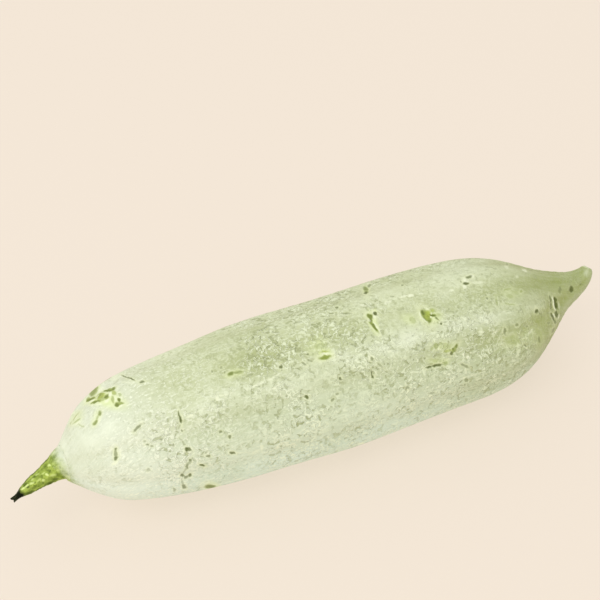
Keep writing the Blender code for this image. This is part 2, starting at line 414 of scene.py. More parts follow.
    ("green", 103.5, 11, 2.5, 1.5, 10, 0.4),
    ("fresh", 103.5, 14, 1.5, 0.7, 0, 0.9),
    ("pale", 103.5, 14.5, 1.7, 0.6, 15, 0.9),
    # Small spots under the slanting nick
    ("dark", 113.5, -2, 1.1, 0.5, 30, 0.6),
    ("dark", 117, -4.5, 0.8, 0.6, -70, 0.8),
    ("dark", 118.5, 0.5, 2.6, 0.5, 20, 0.5),
    ("dark", 120, 22.5, 0.9, 0.7, 80, 0.7),
    ("dark", 118.5, 28, 1.5, 0.4, -85, 0.7),
    ("dark", 118.5, 29.5, 0.7, 0.7, 0, 0.9),
    ("dark", 122.5, 26, 1.3, 0.5, 50, 0.5),
    ("pale", 119, 22, 1.3, 0.4, -70, 0.9),
    ("pale", 120, 28, 1.1, 0.4, 80, 0.6),
    ("pale", 127.5, 22, 1.2, 0.4, 5, 0.6),
    # The slanting nick on top
    ("glow", 125, 20, 8, 1.8, 25, 0.4),
    ("glow", 128, 9, 3, 1.9, -85, 0.35),
    ("halo", 126.5, 8.5, 6, 1.8, -80, 0.9),
    ("halo", 129.5, 4, 1.3, 1, -55, 0.6),
    ("green", 126.5, 5.5, 1.7, 1.2, 65, 0.95),
    ("green", 126, 7.5, 2.3, 0.9, -80, 0.95),
    ("green", 126, 10, 2.9, 0.8, 90, 0.9),
    ("green", 126, 11, 2.5, 0.8, 85, 0.95),
    ("dark", 126.5, 5.5, 1.2, 0.9, 65, 0.6),
    ("dark", 126.5, 6.5, 1.7, 0.5, -70, 0.6),
    ("dark", 126, 10.5, 2.1, 0.5, 90, 0.5),
    ("dark", 126, 11, 1.9, 0.4, 85, 0.55),
    ("dark", 129, 5, 1.1, 0.7, 85, 1.0),
    ("pale", 126.5, -0.5, 1.6, 0.9, 45, 0.7),
    ("pale", 125.5, 7, 1, 0.6, 55, 0.6),
    ("pale", 127, 10.5, 2.5, 0.4, 85, 0.7),
    ("pale", 128, 6.5, 0.9, 0.7, -50, 0.8),
    ("pale", 128.5, 4, 0.6, 0.4, -55, 0.6),
    # A nick behind the top
    ("halo", 133.5, -12.5, 5, 1.6, -65, 0.5),
    ("green", 133.5, -12.5, 5.5, 1, -70, 0.7),
    ("dark", 132, -9.5, 2, 0.8, -65, 0.9),
    ("dark", 134, -14.5, 3, 0.8, -80, 0.5),
    ("dark", 136.5, -16, 1.9, 0.7, -60, 0.6),
    ("dark", 139, -0.5, 1, 0.6, 50, 0.45),
    ("dark", 146.5, -6, 1.2, 0.6, -65, 0.6),
    # Bloom worn to pale dashes along the top
    ("glow", 159, 6.5, 5, 3, -20, 0.3),
    ("pale", 136, 2, 1.8, 0.6, -5, 0.8),
    ("pale", 143.5, 1.5, 2, 0.6, 5, 0.9),
    ("pale", 146, 2, 1.4, 0.8, 5, 1.0),
    ("pale", 150.5, 2.5, 1, 0.5, -5, 0.6),
    ("pale", 162.5, 5, 1.1, 0.6, -10, 0.8),
    # The bruise shaped like an egg, with its tail
    ("glow", 136.5, 19.5, 5.5, 3, 0, 0.7),
    ("halo", 149, 13.5, 4.5, 3.5, 25, 0.75),
    ("halo", 140.5, 12, 3.5, 2.7, 25, 0.4),
    ("green", 141.5, 13, 1.7, 1.3, 70, 0.4),
    ("green", 147.5, 13, 3.5, 1.9, -85, 1.0),
    ("green", 147, 12, 2.5, 1.2, -85, 1.0),
    ("green", 147.5, 15.5, 0.8, 0.8, 0, 0.95),
    ("green", 150, 13.5, 1.6, 0.9, 30, 0.95),
    ("green", 152, 14, 1.1, 1, -40, 0.45),
    ("green", 151, 15.5, 1.2, 0.5, 60, 0.5),
    ("green", 151, 11.5, 1.5, 1.2, -40, 0.4),
    ("fresh", 149, 12.5, 2.1, 1.2, 90, 0.9),
    ("fresh", 147.5, 13.5, 1.5, 0.7, 90, 0.6),
    ("fresh", 151, 11.5, 1, 0.8, -40, 0.6),
    ("dark", 147, 11, 1.4, 0.5, -75, 0.75),
    ("dark", 147.5, 15.5, 0.7, 0.6, -55, 0.5),
    ("dark", 150, 13.5, 1.2, 0.5, 40, 0.9),
    ("dark", 151, 15.5, 1.1, 0.3, 60, 0.6),
    ("dark", 151.5, 18, 0.6, 0.5, -35, 0.9),
    ("pale", 145.5, 11.5, 1.5, 0.4, -80, 0.8),
    ("pale", 146, 14.5, 1.9, 0.4, 75, 0.8),
    ("pale", 149, 14, 0.6, 0.4, -60, 1.0),
    ("pale", 150, 12.5, 0.5, 0.3, -60, 0.8),
    ("pale", 149.5, 10, 1.1, 0.3, 35, 0.5),
    # Cuts and scuffs in front of the bruise, and three painted glints
    ("halo", 146, 32, 5, 1.8, 10, 0.4),
    ("halo", 150, 26.5, 5.5, 2, 20, 0.35),
    ("green", 146, 31.5, 3.5, 0.8, 20, 0.3),
    ("green", 149, 33.5, 1.1, 1, 25, 0.6),
    ("green", 146.5, 25.5, 1.3, 1.1, 20, 0.65),
    ("green", 144.5, 26, 1, 0.5, -50, 0.5),
    ("green", 150, 26.5, 3.5, 1.2, 20, 0.3),
    ("green", 154, 29, 2.6, 0.9, -45, 0.85),
    ("fresh", 151, 29, 2.6, 0.7, 5, 0.6),
    ("dark", 131.5, 38, 0.9, 0.6, 45, 0.6),
    ("dark", 142, 33, 1.6, 0.4, 0, 1.0),
    ("dark", 145.5, 33.5, 2.6, 0.5, 10, 1.0),
    ("dark", 141, 29, 0.6, 0.5, -5, 0.6),
    ("dark", 142, 44.5, 1.4, 0.5, 10, 0.45),
    ("dark", 152.5, 30.5, 0.7, 0.6, 35, 0.8),
    ("dark", 153.5, 29, 0.6, 0.5, 50, 0.5),
    ("dark", 155, 28, 0.8, 0.4, -45, 0.6),
    ("dark", 157, 37, 2.4, 0.6, 40, 0.6),
    ("dark", 157.5, 44, 1.4, 0.7, 55, 0.6),
    ("dark", 157, 46.5, 0.8, 0.5, 70, 0.5),
    # Painted glints beside the cuts
    ("pale", 159, 34, 1, 0.6, 35, 1.0),
    ("pale", 157.5, 32.5, 0.6, 0.5, 20, 0.8),
    ("pale", 160.5, 32.5, 0.6, 0.4, 30, 0.7),
    # Two nicks near the far end of the top, with painted glints in them
    ("glow", 173, -7, 14, 8.9, -20, 0.35),
    ("dark", 169.5, 3.5, 1.2, 0.8, 10, 0.95),
    ("dark", 172.5, 0.5, 1.7, 0.8, -10, 0.85),
    ("dark", 168, 2, 0.7, 0.4, -65, 0.45),
    # Painted glints in the two nicks
    ("pale", 168, 5, 1, 0.8, 60, 1.0),
    ("pale", 170, 2, 1.3, 1, 65, 1.0),
    ("pale", 174, 0.5, 1.1, 0.8, 45, 0.8),
    ("pale", 174.5, 4.5, 3, 0.7, 10, 0.6),
    # Scuffs and specks where the fruit narrows
    ("glow", 158.5, 20, 7, 2, 5, 0.5),
    ("glow", 170.5, 21, 7.5, 2.4, 0, 0.5),
    ("halo", 187, 32, 12.5, 4.4, -5, 0.2),
    ("halo", 187.5, 12, 6.5, 3.2, -5, 0.2),
    ("green", 178, 14.5, 2.5, 0.6, -65, 0.4),
    ("green", 180, 32, 4, 1.9, 10, 0.4),
    ("green", 183.5, 17, 3, 0.4, 10, 0.5),
    ("green", 185.5, 13.5, 1.9, 1.2, -5, 0.35),
    ("green", 186.5, 10, 2.7, 0.5, -10, 0.5),
    ("green", 193.5, 11.5, 1.2, 0.6, -30, 0.6),
    ("green", 195, 33.5, 4.5, 2.5, 85, 0.25),
    ("green", 196.5, 23.5, 5, 2.8, -5, 0.3),
    ("dark", 174.5, 12.5, 0.8, 0.6, -60, 0.65),
    ("dark", 172, 18.5, 0.9, 0.7, -20, 0.4),
    ("dark", 177, 27.5, 1.6, 0.7, -85, 0.65),
    ("dark", 183.5, 26, 0.9, 0.6, -15, 0.6),
    ("dark", 189, 27, 0.7, 0.5, -10, 0.5),
    ("dark", 186, 35, 0.8, 0.6, 25, 0.6),
    ("dark", 195, 33.5, 1.7, 0.9, 85, 0.6),
    ("dark", 197, 20.5, 1.5, 0.9, -35, 1.0),
    ("dark", 198.5, 21, 1.5, 0.7, 50, 0.4),
    ("dark", 200, -7.5, 3.5, 0.6, -50, 0.4),
    ("pale", 172.5, 27, 1.9, 0.4, -10, 0.6),
    ("pale", 166.5, 25.5, 1.5, 0.6, 25, 0.6),
    ("pale", 190.5, 29.5, 2.3, 0.5, -30, 0.5),
    ("pale", 195.5, -2.5, 1.9, 1.1, -40, 0.5),
    ("pale", 196.5, 4, 1.3, 0.6, -35, 0.5),
    ("pale", 205, -1, 1.6, 1.2, -40, 0.7),
    # The slit at the hook's root, its shorter branch and the pale skin at their lips
    ("dark", 213, 13.5, 1.7, 1, -70, 1.0),
    ("dark", 212.5, 16, 2.2, 1.4, -75, 1.0),
    ("dark", 211, 20.5, 2, 1.3, -70, 0.95),
    ("dark", 208, 22.5, 2.4, 1.1, 75, 0.9),
    ("dark", 209.5, 13.5, 2.1, 0.6, -70, 0.7),
    ("dark", 208.5, 17, 2, 0.6, -75, 0.7),
    ("dark", 209, 24.5, 1.3, 1, 20, 0.7),
    ("dark", 204, 17, 2, 0.5, -75, 0.3),
    ("dark", 200, 22, 1.5, 0.6, -80, 0.35),
    ("dark", 203.5, 25.5, 1.1, 0.6, -15, 0.4),
    ("dark", 208, 29.5, 2.8, 1.8, -10, 0.6),
    ("pale", 211, 13.5, 1.9, 0.7, -70, 0.95),
    ("pale", 211, 16.5, 2.2, 1.1, 90, 1.0),
    ("pale", 214.5, 16, 2, 0.5, -75, 0.45),
    ("pale", 209, 21.5, 1.3, 0.8, 90, 0.8),
    ("pale", 212.5, 21.5, 1.5, 0.6, -60, 0.6),
    # Spots on the hook, the pale rim of its end, and a painted glint on the end
    ("dark", 209.5, -3, 2.5, 1.3, 0, 0.5),
    ("dark", 218.5, 8, 2.4, 0.8, -55, 0.5),
    ("dark", 225.5, 7.5, 1.9, 1.2, -45, 1.0),
    ("dark", 232.5, 6, 0.9, 0.6, -5, 0.5),
    ("pale", 241, 0.5, 2.3, 0.4, 85, 0.5),
    ("pale", 241.5, 0, 2.2, 0.3, 80, 0.6),
    # Painted glint on the hook's end
    ("glow", 239, 3, 2, 1.3, -35, 0.55),
)
SCATTER_ALONG = (14, 206)  # mm
SCATTER_AROUND = ((-88, -27), (62, 86))  # behind, and low in front
# More marks there, scattered by chance: kind, number, longest half length and half width
SCATTER = (
    ("halo", 8, 6.0, 2.6),
    ("green", 14, 3.6, 1.1),
    ("dark", 52, 1.9, 0.9),
    ("pale", 34, 2.6, 0.9),
    ("glow", 8, 8.0, 3.0),
)
SCATTER_LENGTHS = (0.3, 1)  # shares of the longest half length
SCATTER_WIDTHS = (0.6, 1)
SCATTER_TILTS = (-90, 90)
SCATTER_STRENGTHS = (0.4, 1)
SCATTER_SEED = 11


def scattered():
    """Marks as on the front, for the sides that are seldom seen."""
    chance = random.Random(SCATTER_SEED)
    marks = []
    for kind, count, half_length, half_width in SCATTER:
        for i in range(count):
            # One in four is low in front
            side = SCATTER_AROUND[0 if i % 4 else 1]
            mark = (
                kind,
                chance.uniform(*SCATTER_ALONG),
                chance.uniform(*side),
                half_length * chance.uniform(*SCATTER_LENGTHS),
                half_width * chance.uniform(*SCATTER_WIDTHS),
                chance.uniform(*SCATTER_TILTS),
                chance.uniform(*SCATTER_STRENGTHS),
            )
            marks.append(mark)
    return tuple(marks)


ALL_MARKS = MARKS + scattered()


def marks_of(marks, *kinds):
    return [mark[1:] for mark in marks if mark[0] in kinds]


# How soft each kind's edge is: where it begins and where it is full, in shares of the mark's size
MARK_EDGES = {
    "glow": (1.7, 0.0),
    "halo": (1.4, 0.3),
    "green": (1.25, 0.6),
    "fresh": (1.3, 0.4),
    "pale": (1.3, 0.5),
    "dark": (1.25, 0.6),
}
RIM_EDGES = (2.3, 1.3)  # of the pale rim round each green or dark mark
# Cuts pressed into the skin: the same numbers as a mark's, with a depth in mm for its strength
CUTS_MM = (
    (212.5, 15, 3, 0.8, -85, 0.7),
    (208.5, 22.5, 3, 0.6, 55, 0.4),
    (42, 18, 2.5, 0.5, 95, 0.3),
    (144.5, 33, 3.5, 0.5, 5, 0.3),
    (126.5, 9, 3.5, 0.9, 85, 0.25),
    (148, 12.5, 2.5, 2, 40, 0.3),
    (172.5, 1, 1.5, 0.8, 30, 0.3),
    (169, 3, 1.5, 0.8, 20, 0.3),
    (225.5, 8, 1.5, 1, 120, 0.25),
    (103, 16, 2, 0.9, 10, 0.2),
    (50, 56, 3, 0.9, 20, 0.2),
    (31.5, -13, 8, 0.6, 80, 0.2),
)
# Lips raised beside the slit at the hook's root, with a height in mm
LIPS_MM = (
    (211, 15.5, 3.5, 0.8, -85, 0.3),
    (215, 15.5, 3, 0.6, -70, 0.12),
)


def ramp(value, low, high):
    """From 0 at low to 1 at high, with soft ends."""
    share = np.clip((value - low) / (high - low), 0.0, 1.0)
    return share * share * (3 - 2 * share)


class Spine:
    """A natural cubic spline through places with a radius, read at many distances at once.

    Its cross-sections stand square to the line, and at its start to the start direction.
    """

    def __init__(self, rows, start):
        self.rows = np.array(rows, float)
        self.start = np.array(start, float)
        steps = np.linalg.norm(np.diff(self.rows[:, :3], axis=0), axis=1)
        self.along = np.concatenate([[0.0], np.cumsum(steps)])
        self.length = self.along[-1]
        self.bends = self.second_derivatives(steps)

    def second_derivatives(self, steps):
        count = len(self.along)
        system = np.eye(count)
        slopes = np.diff(self.rows, axis=0) / steps[:, None]
        right = np.zeros_like(self.rows)
        for i in range(1, count - 1):
            system[i, i - 1 : i + 2] = (steps[i - 1], 2 * (steps[i - 1] + steps[i]), steps[i])
            right[i] = 6 * (slopes[i] - slopes[i - 1])
        return np.linalg.solve(system, right)

    def at(self, distance):
        """Centres and radii at distances along the spine."""
        i = np.clip(np.searchsorted(self.along, distance) - 1, 0, len(self.along) - 2)
        step = self.along[i + 1] - self.along[i]
        b = ((distance - self.along[i]) / step)[:, None]
        a = 1 - b
        row = a * self.rows[i] + b * self.rows[i + 1]
        bend = (a**3 - a) * self.bends[i] + (b**3 - b) * self.bends[i + 1]
        row = row + bend * (step**2 / 6)[:, None]
        return row[:, :3], row[:, 3]

    def across(self, distance):
        """Three directions at distances: towards the back, square to it, and along the spine.

        The second points up where the spine runs towards +X, and down where it runs towards -X.
        """
        reach = self.length * 1e-4
        ahead = self.at(np.minimum(distance + reach, self.length))[0]
        behind = self.at(np.maximum(distance - reach, 0.0))[0]
        forward = unit(ahead - behind)
        forward = self.start + (forward - self.start) * ramp(distance, 0, SQUARE_REACH)[:, None]
        forward = unit(forward)
        side = unit(np.array([0.0, 1.0, 0.0]) - forward * forward[:, 1:2])
        return side, np.cross(forward, side), forward


def unit(vectors):
    return vectors / np.linalg.norm(vectors, axis=1, keepdims=True)


def rib_turn(distance, angle, length):
    return RIB_COUNT * (angle - RIB_PHASE - RIB_TWIST * distance / length)


def rib(distance, angle, length, radius):
    """How far the ribs lift the skin: broad rounded crests with narrower valleys."""
    turn = rib_turn(distance, angle, length)
    wave = np.cos(turn) - RIB_SHARPNESS * np.cos(2 * turn)
    return RIB_HEIGHT * ramp(radius, 0, RIB_FULL_RADIUS) * wave


def lump(distance, angle, length):
    """Slow swellings, as a fruit that grew has."""
    waves = sum(
        share * np.sin(turns * angle + bend * distance + phase)
        for turns, bend, phase, share in LUMP_WAVES
    )
    return LUMP_HEIGHT * np.sin(math.pi * distance / length) * waves


def unevenness(places, size):
    """Smooth noise from -1 to 1 at places, with features of about the given size."""
    return np.array([noise.noise(Vector(place) / size) for place in places])


def local_places(distance, arc, mark):
    """Places on the unrolled skin in a mark's own frame, in half lengths and half widths."""
    along, around, half_length, half_width, tilt = mark[:5]
    turn = math.radians(tilt)
    x = distance - along * MM
    y = arc - around * MM
    long_way = (x * math.cos(turn) + y * math.sin(turn)) / (half_length * MM)
    short_way = (y * math.cos(turn) - x * math.sin(turn)) / (half_width * MM)
    return long_way, short_way


def pressed(distance, arc, marks):
    """The sum of smooth dents: one for each mark, as deep as its last number, in metres."""
    depth = np.zeros_like(distance)
    for mark in marks:
        long_way, short_way = local_places(distance, arc, mark)
        depth += mark[5] * MM * np.exp(-(long_way**4) - short_way**2)
    return depth


def marked(distance, arc, marks, edges):
    """How strongly each place is marked, from 0 to 1."""
    strength = np.zeros_like(distance)
    for mark in marks:
        away = np.hypot(*local_places(distance, arc, mark))
        strength = np.maximum(strength, mark[5] * ramp(-away, -edges[0], -edges[1]))
    return strength


def near_marks(distance, arc, marks, margin):
    """Which places lie on a mark, or no more than the margin away from one."""
    near = np.zeros(len(distance), bool)
    for mark in marks:
        grown_mark = (*mark[:2], mark[2] + margin / MM, mark[3] + margin / MM, mark[4])
        near |= np.hypot(*local_places(distance, arc, grown_mark)) < 1
    return near


def creases(distance, arc, length):
    """Fine cross folds: near the neck, and where the fruit narrows to the hook."""
    way = distance / length
    wander = sum(height * np.sin(arc / wave + phase) for height, wave, phase in CREASE_WANDER)
    near_hook = ramp(way, *HOOK_CREASES_RISE) * (1 - ramp(way, *HOOK_CREASES_FALL))
    near_neck = 1 - ramp(way, *NECK_CREASES_FALL)
    folds = np.sin((distance + wander) / CREASE_PITCH)
    share = HOOK_CREASES_SHARE * near_hook + NECK_CREASES_SHARE * near_neck
    return CREASE_HEIGHT * folds * share


def close_up(bm, wanted):
    """Halves the faces of a grid where wanted(u, angle, margin) says so, once for each margin."""
    for margin in CLOSE_UP_MARGINS:
        middles = np.array([face.calc_center_median()[:2] for face in bm.faces])
        near = wanted(middles[:, 0] + 0.5, math.tau * middles[:, 1], margin)
        edges = {edge for face, chosen in zip(bm.faces, near) if chosen for edge in face.edges}
        bmesh.ops.subdivide_edges(
            bm, edges=list(edges), cuts=1, use_grid_fill=True, use_single_edge=True
        )


def grown(name, rings, sides, shape, skin, wanted=None):
    """A closed skin from a square grid, welded along its underside and at its two ends.

    shape(u, angle) gives the corners' places, their places on the unrolled skin, and a
    dictionary of the values that the material reads.
    """
    bm = bmesh.new()
    bmesh.ops.create_grid(bm, x_segments=rings, y_segments=sides, size=0.5)
    if wanted:
        close_up(bm, wanted)
    bm.verts.index_update()
    flat = np.array([vert.co[:] for vert in bm.verts])
    places, unrolled, values = shape(flat[:, 0] + 0.5, math.tau * flat[:, 1])
    for vert, place in zip(bm.verts, places):
        vert.co = place
    for value_name, numbers in values.items():
        layer = bm.verts.layers.float.new(value_name)
        for vert, number in zip(bm.verts, numbers):
            vert[layer] = number
    on_skin = bm.loops.layers.uv.new("unrolled")
    for face in bm.faces:
        for loop in face.loops:
            loop[on_skin].uv = unrolled[loop.vert.index]
    bmesh.ops.remove_doubles(bm, verts=bm.verts, dist=WELD)
    bmesh.ops.recalc_face_normals(bm, faces=bm.faces)
    mesh = bpy.data.meshes.new(name)
    bm.to_mesh(mesh)
    bm.free()
    mesh.materials.append(skin)
    mesh.shade_smooth()
    piece = bpy.data.objects.new(name, mesh)
    bpy.context.collection.objects.link(piece)
    return piece


fruit_spine = Spine(np.array(FRUIT_SPINE_MM) * MM, start=(1, 0, 0))
FRUIT_STOPS = (0, NECK_CAP_RINGS / FRUIT_RINGS, 1 - SCAR_RINGS / FRUIT_RINGS, 1)


def fruit_distance(u):
    return np.interp(u, FRUIT_STOPS, (0, 0, fruit_spine.length, fruit_spine.length))


def fruit_close_up(u, angle, margin):
    distance = fruit_distance(u)
    arc = angle * fruit_spine.at(distance)[1]
    crisp = marks_of(MARKS, "green", "dark", "pale") + list(CUTS_MM + LIPS_MM)
    near = near_marks(distance, arc, crisp, margin)
    inner = (u > FRUIT_STOPS[1]) & (u < FRUIT_STOPS[2])
    return near & inner & (np.abs(angle) < math.pi - SEAM_CLEARANCE)


def fruit_shape(u, angle):
    """The fruit's skin at u from neck to hook and at an angle from the top."""
    length = fruit_spine.length
    distance = fruit_distance(u)
    share = np.interp(u, FRUIT_STOPS, (0, 1, 1, 0))
    centre, radius = fruit_spine.at(distance)
    side, up, forward = fruit_spine.across(distance)
    outward = np.cos(angle)[:, None] * up - np.sin(angle)[:, None] * side
    arc = angle * radius
    radius = radius + rib(distance, angle, length, radius)
    radius += lump(distance, angle, length) - SKIN_INSET
    radius += SCAR_RIM_HEIGHT * ramp(distance, length - SCAR_RIM_REACH, length)
    radius -= SCAR_ROUNDING * np.clip(1 - (length - distance) / SCAR_ROUND_REACH, 0, 1) ** 2
    fade = ramp(radius, *FINE_RELIEF_RADII)
    smooth = centre + radius[:, None] * outward
    radius += DIMPLE_HEIGHT * fade * unevenness(smooth, DIMPLE_SIZE)
    radius += FAINT_DENT_HEIGHT * fade * (unevenness(smooth, FAINT_DENT_SIZE) - FAINT_DENT_DROP)
    radius += creases(distance, arc, length) - CREASE_HEIGHT * CREASE_DROP
    radius += pressed(distance, arc, LIPS_MM) - pressed(distance, arc, CUTS_MM)
    radius -= NICK_DEPTH * marked(distance, arc, marks_of(ALL_MARKS, "dark"), MARK_EDGES["dark"])
    point = centre + (radius * share)[:, None] * outward
    in_scar = (u > FRUIT_STOPS[2]).astype(float)
    dish = SCAR_DISH * in_scar * ramp(1 - share, *SCAR_DISH_SHARES)
    point = point - dish[:, None] * forward
    point += np.array([NECK_X, MIDDLE_Y, -FLAT_DEPTH])
    point[:, 2] = np.maximum(point[:, 2], fruit_low[2])

    ragged = distance + MARK_RAGGEDNESS * unevenness(smooth, MARK_RAG_SIZE)
    ragged_arc = arc + MARK_RAGGEDNESS * unevenness(smooth + RAG_SHIFT, MARK_RAG_SIZE)
    values = {
        kind: marked(ragged, ragged_arc, marks_of(ALL_MARKS, kind), edges)
        for kind, edges in MARK_EDGES.items()
    }
    values["rim"] = marked(ragged, ragged_arc, marks_of(ALL_MARKS, "green", "dark"), RIM_EDGES)
    values["rim"] *= 1 - ramp(distance / length, *RIM_FADE)
    values["crest"] = np.cos(rib_turn(distance, angle, length))
    values["low"] = ramp(np.abs(angle), *LOW_ANGLES)
    return point, np.stack([distance, arc * share], axis=1), values


# The fruit's skin
# A thin waxy skin, pale yellow-green, under a whitish bloom that breaks up into fine flecks and
# worm-like lines. The bloom is thickest by the stalk and on the ribs in front, thin at the hook,
# and gone where the skin was rubbed or nicked, which leaves it green. Light and shade are painted
# into it too: the neck end, nearer the lamp, is painted paler with a highlight, the underside is
# painted the cool grey of shade, and a few glints are painted on nicks and at the hook's end.
BARE_SKIN = (0.33, 0.38, 0.11, 1)  # where there is no bloom
BLOOM = (0.76, 0.82, 0.60, 1)
YELLOWER_UPPER_BLOOM = (0.765, 0.81, 0.54, 1)  # yellower, on the top and behind it
SHADE_TINTED_BLOOM = (0.69, 0.84, 0.73, 1)  # painted shade: the cool grey-blue bloom laid on the underside
NECK_BLOOM_AND_HIGHLIGHT = (0.80, 0.845, 0.66, 1)  # by the stalk; partly painted highlight, paler as the neck end is nearer the lamp
# Painted shade: the same cool grey tint on the underside by the stalk
SHADE_TINTED_NECK_BLOOM = (0.78, 0.88, 0.76, 1)
PALE_FLECK = (0.88, 0.94, 0.66, 1)
PALE_NECK_FLECK = (0.96, 1.0, 0.78, 1)
DARK_FLECK = (0.40, 0.44, 0.22, 1)  # a gap in the bloom
STALK_GREEN = (0.29, 0.385, 0.055, 1)  # runs a little way onto the fruit
# The marks' colours, from the lowest layer to the highest: kind, share of full cover, colour
MARK_COLOURS = (
    # Some glow and pale marks are painted highlights and glints rather than bloom
    ("glow", 0.7, (0.91, 0.96, 0.74, 1)),
    ("halo", 0.75, (0.78, 0.89, 0.38, 1)),
    ("rim", 0.4, (0.92, 0.97, 0.60, 1)),
    ("green", 0.97, (0.29, 0.36, 0.065, 1)),
    ("fresh", 0.9, (0.45, 0.54, 0.08, 1)),
    ("pale", 0.85, (0.94, 0.98, 0.70, 1)),
    ("dark", 0.92, (0.11, 0.14, 0.02, 1)),
)

# How thick the bloom lies, thinning towards the hook, and partly painted light, which makes the
# neck end nearer the lamp paler: share of the way from the neck to the hook's end, share of full
# cover
BLOOM_AND_LIGHT_ALONG = (
    (0.0, 0.98),
    (0.1, 0.9),
    (0.22, 0.74),
    (0.42, 0.68),
    (0.56, 0.71),
    (0.63, 0.55),
    (0.74, 0.46),
    (0.81, 0.26),
    (0.88, 0.1),
    (1.0, 0.04),
)
# How much more bloom the ribs' crests have than their valleys, by share of the way
CREST_LIFT_ALONG = (
    (0.0, 0.0),
    (0.13, 0.02),
    (0.3, 0.11),
    (0.6, 0.13),
    (0.8, 0.18),
    (0.88, 0.08),
    (1.0, 0.02),
)
# How much more bloom the top has than the sides, with 0.5 for as much, by share of the way
TOP_LIFT_ALONG = (
    (0.0, 0.5),
    (0.18, 0.46),
    (0.3, 0.31),
    (0.48, 0.35),
    (0.62, 0.57),
    (0.74, 0.63),
    (0.85, 0.58),
    (1.0, 0.5),
)
TOP_LIFT_NONE = 0.5
LOW_LIFT = 0.26  # more cover low on both sides, which spreads the painted shade tint over the underside

# Bands of the unrolled skin, in metres along it from the neck, or around it from the top towards
# the front. Each of a band's two edges says where it is nothing and where it is full.
TOP_BAND = ((-0.02, -0.008), (0.027, 0.009))
UPPER_BACK_BAND = ((-0.05, -0.03), (0.03, 0.006))
MIDDLE_BAND = ((0.05, 0.075), (0.115, 0.095))
# Fades over the unrolled skin: from and to, as in a band's edge, and then, where they aren't 0
# and 1, the values there
# Over which the neck's paler colour and painted highlight give way
NECK_BLOOM_AND_HIGHLIGHT_ALONG = (0.05, 0.012)
NECK_FLECKS_ALONG = (0.1, 0.03)
CRESTS_SHOW_IN_FRONT = (0.022, 0.032, 1.0, 0.3)
CRESTS_SHOW_BEHIND = (-0.006, -0.014, 1.0, 0.25)
STRIPE_TOP = (0.022, 0.027)  # of a greener stripe that runs low along the far half
STRIPE_FOOT = (0.036, 0.043, 1.0, 0.6)
STRIPE_ALONG = (0.1, 0.15, 0.0, 0.09)
LOW_FRONT = (0.034, 0.042, 0.0, 0.1)  # more bloom low in front, halfway along
BEHIND_TOP = (-0.006, -0.012)
BEHIND_NEAR_END = (0.07, 0.11, 0.1, 0.0)  # more bloom behind the top at both ends
BEHIND_FAR_END = (0.155, 0.175, 0.0, 0.15)
# The same for how much of the flecks and dashes shows
FLECKS_LEAVE_NECK = (0.01, 0.04, 0.55, 1.0)
FLECKS_LOW_DOWN = (0.026, 0.032, 1.0, 0.85)
LOW_DOWN_SLANT = 0.15  # the smooth skin low down starts higher towards the neck
FAR_HALF = (0.115, 0.15)
FLECKS_FAR_TOP = (0.0, 1.0, 1.0, 0.55)  # over how much a place is both
NEAR_HALF = (0.09, 0.06)
FLECKS_NEAR_UPPER_BACK = (0.2, 0.9, 1.0, 0.5)  # likewise
DARK_LEAVE_NECK = (0.015, 0.05, 0.5, 1.0)
DARK_LOW_DOWN = (0.031, 0.036, 1.0, 0.7)
PALE_TO_HOOK = (0.165, 0.212, 0.75, 0.2)
DASHES_TO_MIDDLE = (0.08, 0.02, 0.45, 1.0)
DASHES_LEAVE_NECK = (0.005, 0.022, 0.35, 1.0)

# The flecks: pale lines where a noise is near one value, and dark spots where it is low, both
# broken up by a broader noise
LINE_NOISE = 0.53
LINE_EDGES = (0.085, 0.02)  # how far from that value a line begins and is full
PALE_BREAKS = (0.36, 0.5)
SPOT_EDGES = (0.43, 0.34)
DARK_BREAKS = (0.62, 0.5)
BREAK_SCALE = 0.4  # of the finer noise's scale
FLECK_SIZE = 0.0021
FLECK_RELIEF = (1.0, 0.0002)  # strength, metres

# Other noises of the skin: each one's scale, per metre, and the fades that read it
PATCH_SCALE = 60.0
PATCH_SHARES = (0.36, 0.6, 0.4, 1.0)
CLOUD_SCALE = 38.0
CLOUD_LIFT = (0.3, 0.7, -0.1, 0.1)
STREAK_SCALES = (55.0, 620.0, 0)  # along and around
STREAK_LIFT = (0.4, 0.62, -0.05, 0.03)
WORN_CREST = (0.9, 1.0)  # of the way up a rib, where the bloom wears to pale dashes
WORN_STREAK = (0.52, 0.62)
WORN_SCALE = 320.0
WORN_SPOTS = (0.44, 0.58)
WORN_LIFT = (0.03, 0.1)  # over the crests' lift
DASH_SCALES = (620.0, 1250.0, 0)
DASHES = (0.57, 0.66)
BLOOM_ROUGHNESS = (0.2, 1.0, 0.46, 0.66)  # from bare skin to full bloom

# Where the stalk's green gives way to the fruit's bloom: in x, at the height of the neck's middle
STALK_FADE_X = (-0.1132, -0.105)
STALK_FADE_HEIGHT = 0.0284
STALK_FADE_SLOPE = 0.37  # how much nearer the stalk's end it ends higher up
STALK_FADE_SCALE = 420.0
STALK_FADE_WANDER = 0.006


def calculate(tree, operation, a, b=0.0, clamp=False):
    return put(
        tree, "ShaderNodeMath", {0: a, 1: b}, operation=operation, use_clamp=clamp
    ).outputs[0]


def product(tree, first, *others):
    for other in others:
        first = calculate(tree, "MULTIPLY", first, other)
    return first


def total(tree, first, *others):
    for other in others:
        first = calculate(tree, "ADD", first, other)
    return first


def spread(tree, value, low, high, to_low=0.0, to_high=1.0):
    """value mapped softly from low..high to to_low..to_high."""
    return put(
        tree,
        "ShaderNodeMapRange",
        {"Value": value, "From Min": low, "From Max": high, "To Min": to_low, "To Max": to_high},
        interpolation_type="SMOOTHSTEP",
    ).outputs["Result"]


def band(tree, value, first_edge, second_edge):
    """1 between a band's two soft edges and 0 outside them."""
    return product(tree, spread(tree, value, *first_edge), spread(tree, value, *second_edge))


